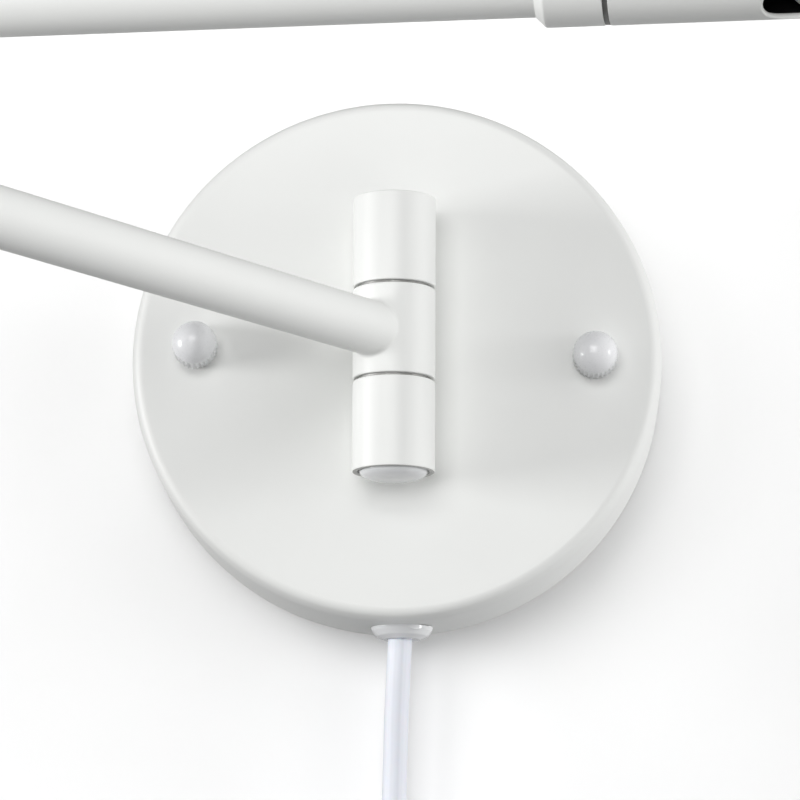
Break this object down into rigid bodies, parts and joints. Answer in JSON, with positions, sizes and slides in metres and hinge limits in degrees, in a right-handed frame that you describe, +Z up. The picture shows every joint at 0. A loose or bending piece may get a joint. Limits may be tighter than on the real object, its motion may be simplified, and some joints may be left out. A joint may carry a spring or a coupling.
{
  "type": "swing arm wall sconce",
  "caption": "White plug-in wall sconce with a round canopy, a folding arm on stacked pivot barrels and a cone shade on a tilting, turning head.",
  "frame": {"origin": "centre of the mounting bar's wall face, midway between its two box screw slots", "axes": "+X to the right, -Y out of the wall into the room, +Z up"},
  "size_m": [0.3719, 0.3638, 0.3245],
  "materials": {
    "canopy_paint": "fine satin powder coat, warm white",
    "arm_paint": "fine satin powder coat, warm white",
    "shade_paint": "satin powder coat outside, softer white inside",
    "ball_enamel": "gloss white enamel",
    "cap_white": "gloss white moulding",
    "zinc_steel": "zinc plated, machined",
    "brass_plain": "plain brass",
    "washer_black": "black nylon",
    "washer_grey": "satin grey washer",
    "bush_tan": "natural nylon",
    "cord_white": "soft white PVC sheath",
    "plug_white": "moulded white PVC",
    "tie_white": "soft white strap",
    "nut_orange": "moulded orange",
    "wire_dark": "black insulation",
    "ground_green": "green enamel",
    "phenolic": "moulded black phenolic"
  },
  "bodies": {
    "base": {"canopy": "canopy_paint", "mounting_bar": "zinc_steel", "canopy_studs": "brass_plain", "stud_nuts": "zinc_steel", "ball_nut_left": "ball_enamel", "ball_nut_right": "ball_enamel", "ground_screw": "ground_green", "wire_nuts": "nut_orange", "lead_wires": "wire_dark", "feed_nipple": "brass_plain", "nipple_nut": "brass_plain", "barrel_screw": "zinc_steel", "barrel_saddles": "arm_paint", "barrel_top": "arm_paint", "barrel_bottom": "arm_paint", "barrel_cap_top": "cap_white", "barrel_cap_bottom": "cap_white", "pivot_bolt": "zinc_steel", "pivot_nuts": "zinc_steel", "pivot_washers": "washer_grey", "cord_grommet": "cap_white", "cord_inlet": "cord_white", "cord": "cord_white", "cord_coil": "cord_white", "cord_tie": "tie_white", "cord_tail": "cord_white", "plug_body": "plug_white", "plug_blades": "brass_plain"},
    "lower_arm": {"arm_hub": "arm_paint", "hub_bushes": "bush_tan", "lower_tube": "arm_paint", "lower_wire": "wire_dark", "elbow_lower": "arm_paint", "elbow_bolt": "zinc_steel", "elbow_nuts": "zinc_steel", "elbow_washer": "washer_grey", "elbow_cap_bottom": "cap_white"},
    "upper_arm": {"elbow_upper": "arm_paint", "elbow_bush": "bush_tan", "elbow_cap_top": "cap_white", "upper_tube": "arm_paint", "upper_wire": "wire_dark", "tube_collar": "arm_paint", "swivel_nipple": "brass_plain", "swivel_nut": "brass_plain"},
    "head_swivel": {"swivel_sleeve": "arm_paint", "swivel_bush": "washer_grey", "tilt_screws": "zinc_steel", "tilt_washers": "washer_black"},
    "lamp_head": {"head_neck": "shade_paint", "neck_nut": "brass_plain", "socket_cup": "shade_paint", "lamp_holder": "phenolic", "screw_shell": "brass_plain", "centre_contact": "brass_plain", "shade": "shade_paint", "shade_ring": "phenolic"},
    "switch": {"switch_knob": "cap_white"}
  },
  "joints": [
    {"name": "wall_swing", "type": "hinge", "parent": "base", "child": "lower_arm", "pos_m": [0, -0.039, 0.0026], "axis": [0, 0, 1], "range_deg": [-41, 110]},
    {"name": "elbow_swing", "type": "hinge", "parent": "lower_arm", "child": "upper_arm", "pos_m": [-0.12614, -0.22531, 0.0248], "axis": [0, 0, -1], "range_deg": [-22, 258]},
    {"name": "head_roll", "type": "hinge", "parent": "upper_arm", "child": "head_swivel", "pos_m": [0.08668, -0.24768, 0.0248], "axis": [0.9945, -0.1045, 0], "range_deg": [-160, 160]},
    {"name": "head_tilt", "type": "hinge", "parent": "head_swivel", "child": "lamp_head", "pos_m": [0.08668, -0.24768, 0.0248], "axis": [0.094, 0.8939, -0.4384], "range_deg": [-40, 50]},
    {"name": "switch_turn", "type": "hinge", "parent": "lamp_head", "child": "switch", "pos_m": [0.11357, -0.28953, 0.00911], "axis": [-0.094, -0.8939, 0.4384], "continuous": true}
  ]
}
